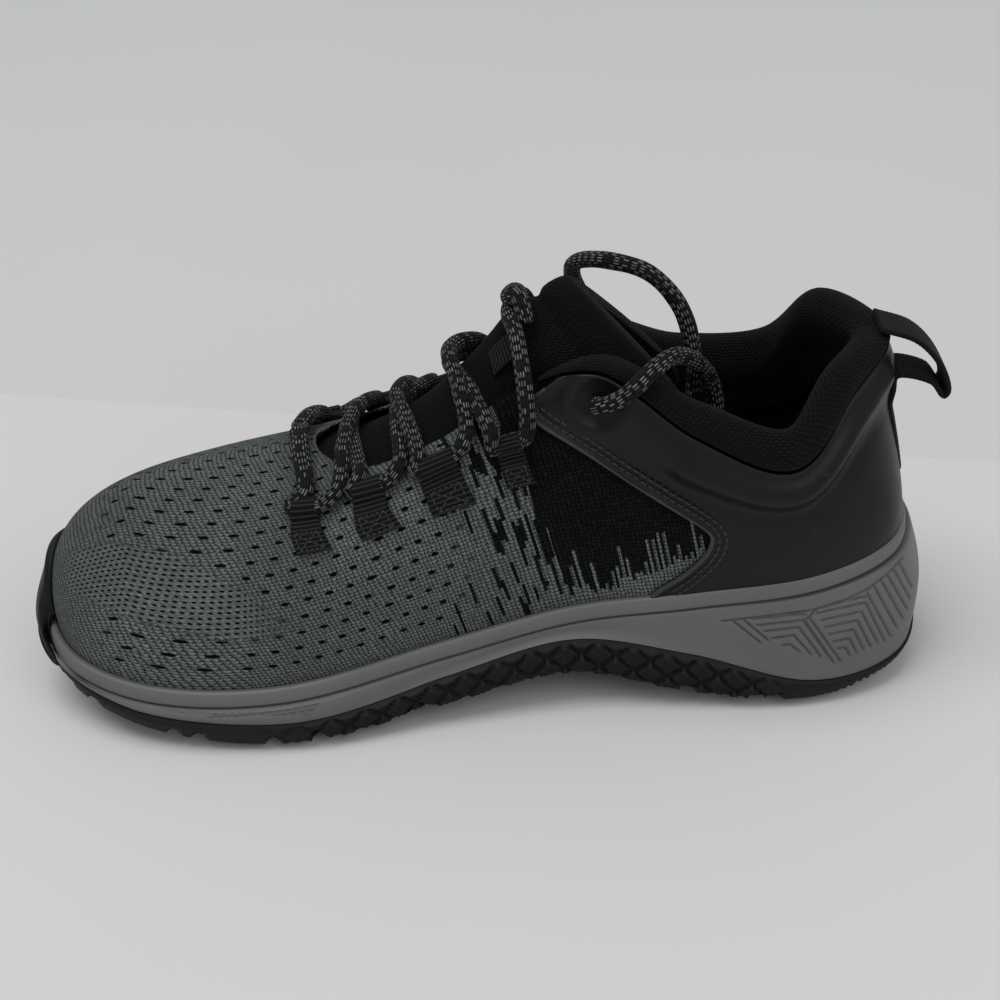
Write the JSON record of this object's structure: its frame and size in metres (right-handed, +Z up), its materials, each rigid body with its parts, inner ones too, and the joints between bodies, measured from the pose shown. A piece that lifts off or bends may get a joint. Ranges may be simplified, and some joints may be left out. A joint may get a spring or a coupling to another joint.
{
  "type": "safety sneaker",
  "caption": "Low lace-up work sneaker for the right foot: knit upper, smooth heel covering, padded collar, foam midsole and lugged rubber outsole that climbs the toe and arch.",
  "frame": {"origin": "on the floor under the centre of the heel's flat tread", "axes": "+X towards the toe, +Y towards the inner side of the foot, +Z up"},
  "size_m": [0.2813, 0.1064, 0.1303],
  "materials": {
    "knit": "matt knit",
    "synthetic": "satin",
    "lining": "matt knit",
    "foam": "satin moulded foam",
    "rubber": "matt moulded",
    "webbing": "ribbed",
    "lace": "braided"
  },
  "bodies": {
    "root": {"collar_lining": "lining", "insole": "lining", "lace_bar": "lace", "lace_crossing_1": "lace", "lace_crossing_2": "lace", "lace_crossing_3": "lace", "lace_crossing_4": "lace", "lace_end_inner": "lace", "lace_end_outer": "lace", "lace_tab_inner_1": "webbing", "lace_tab_inner_2": "webbing", "lace_tab_inner_3": "webbing", "lace_tab_inner_4": "webbing", "lace_tab_outer_1": "webbing", "lace_tab_outer_2": "webbing", "lace_tab_outer_3": "webbing", "lace_tab_outer_4": "webbing", "midsole": "foam", "outsole": "rubber", "pull_loop": "webbing", "quarter_overlay": "synthetic", "tongue": "lining", "upper": "knit"}
  },
  "joints": []
}
